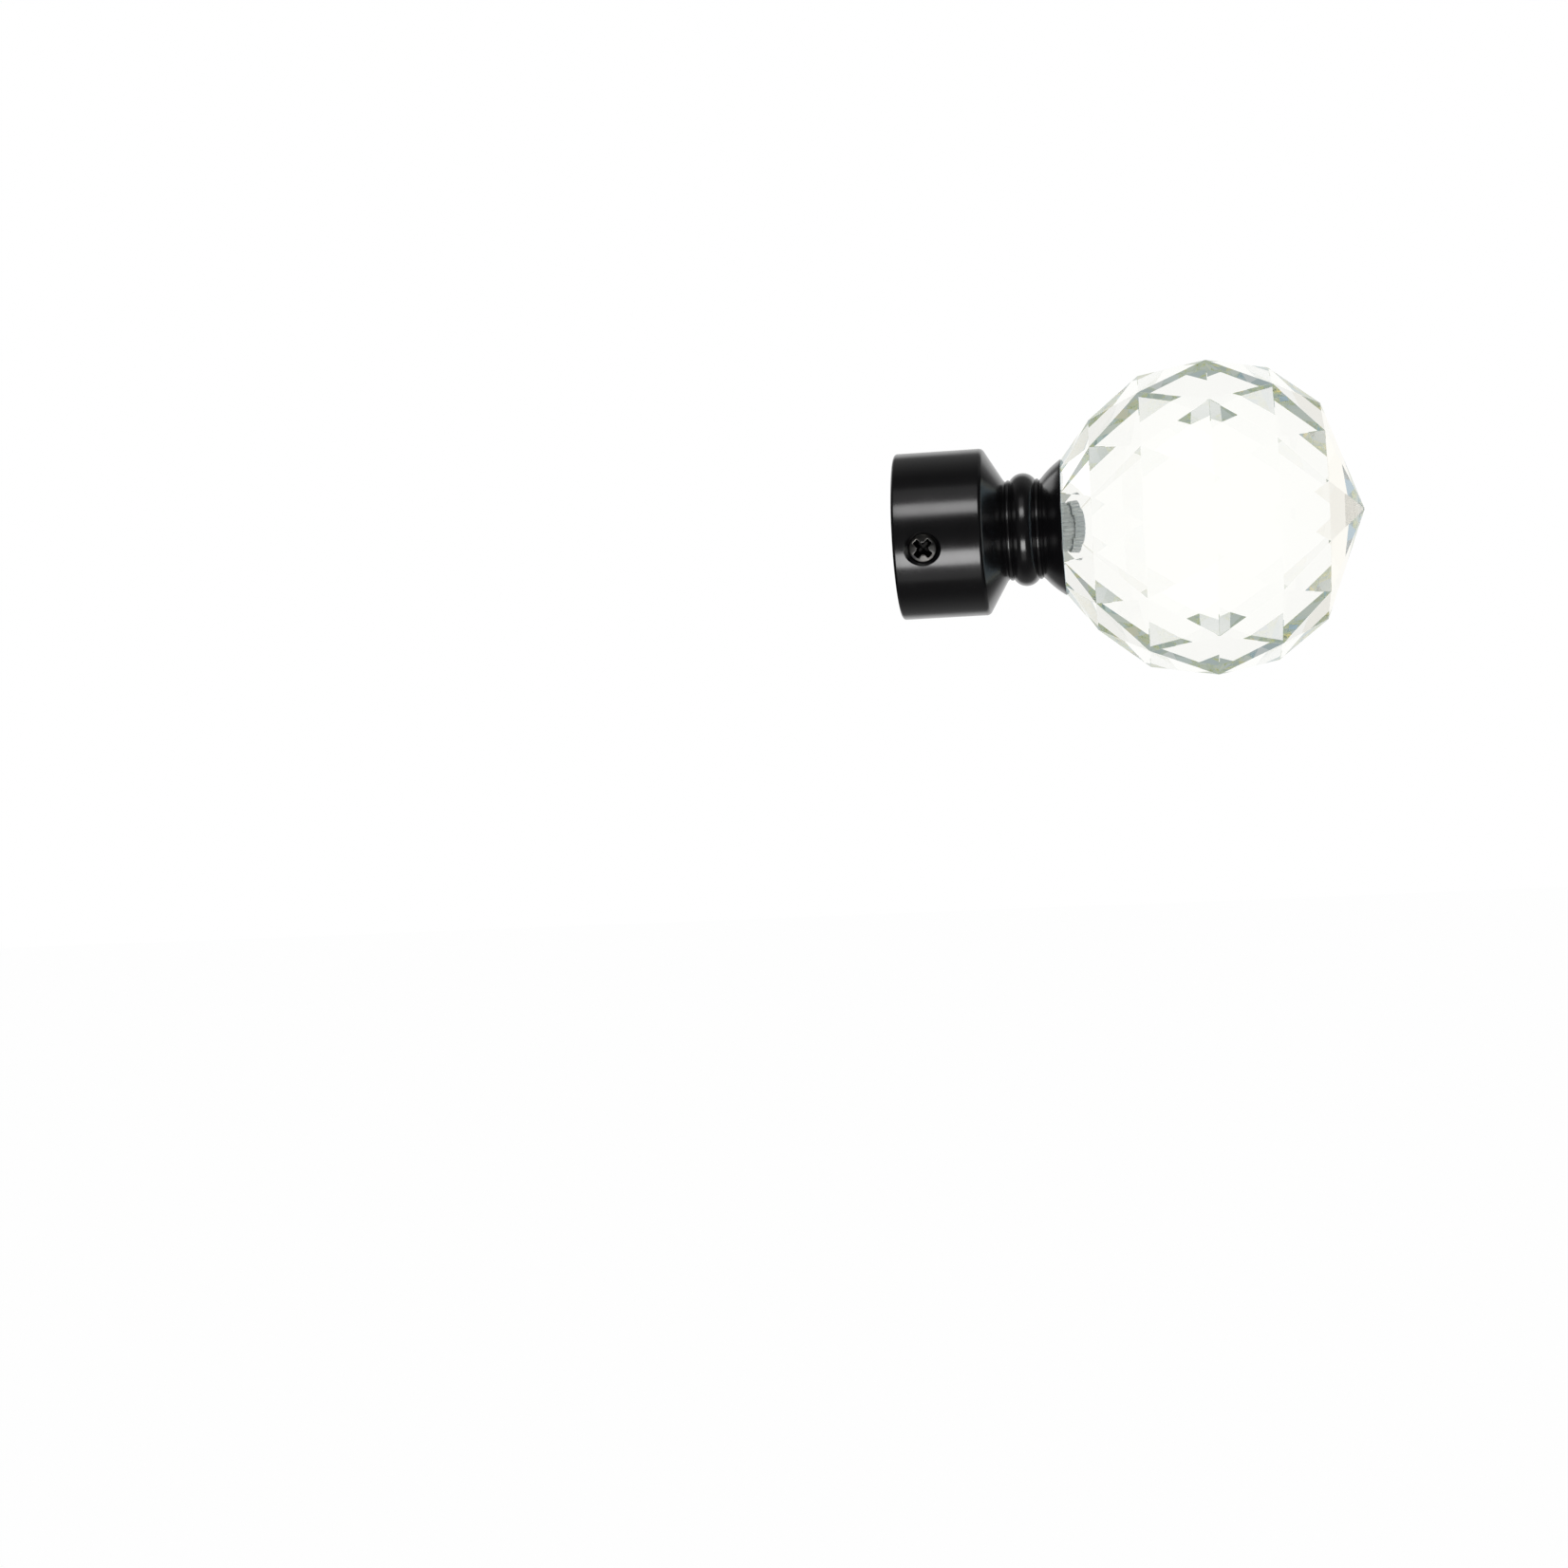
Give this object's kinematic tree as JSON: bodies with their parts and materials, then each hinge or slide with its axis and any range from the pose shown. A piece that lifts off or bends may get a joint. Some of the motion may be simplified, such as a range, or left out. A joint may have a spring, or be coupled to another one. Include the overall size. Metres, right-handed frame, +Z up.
{
  "type": "curtain pole finial",
  "caption": "Curtain pole finial: a turned black metal collar with a pole socket, side set screw, bead and cup, carrying a facetted clear glass ball.",
  "frame": {"origin": "centre of the pole socket's mouth", "axes": "+X along the pole's axis from the socket to the ball's tip, +Z up on a level pole, the set screw on the -Y side a little below the level of the axis"},
  "size_m": [0.0711, 0.0474, 0.0474],
  "materials": {
    "black_lacquer": "gloss black lacquer on turned metal",
    "black_screw": "blackened steel, slightly worn on the recess",
    "stud_metal": "bright machined, with straight ridges",
    "crystal": "polished facets, clear with a faint cool tint"
  },
  "bodies": {
    "root": {"collar": "black_lacquer", "set_screw": "black_screw", "ball_stud": "stud_metal", "crystal_ball": "crystal"}
  },
  "joints": []
}
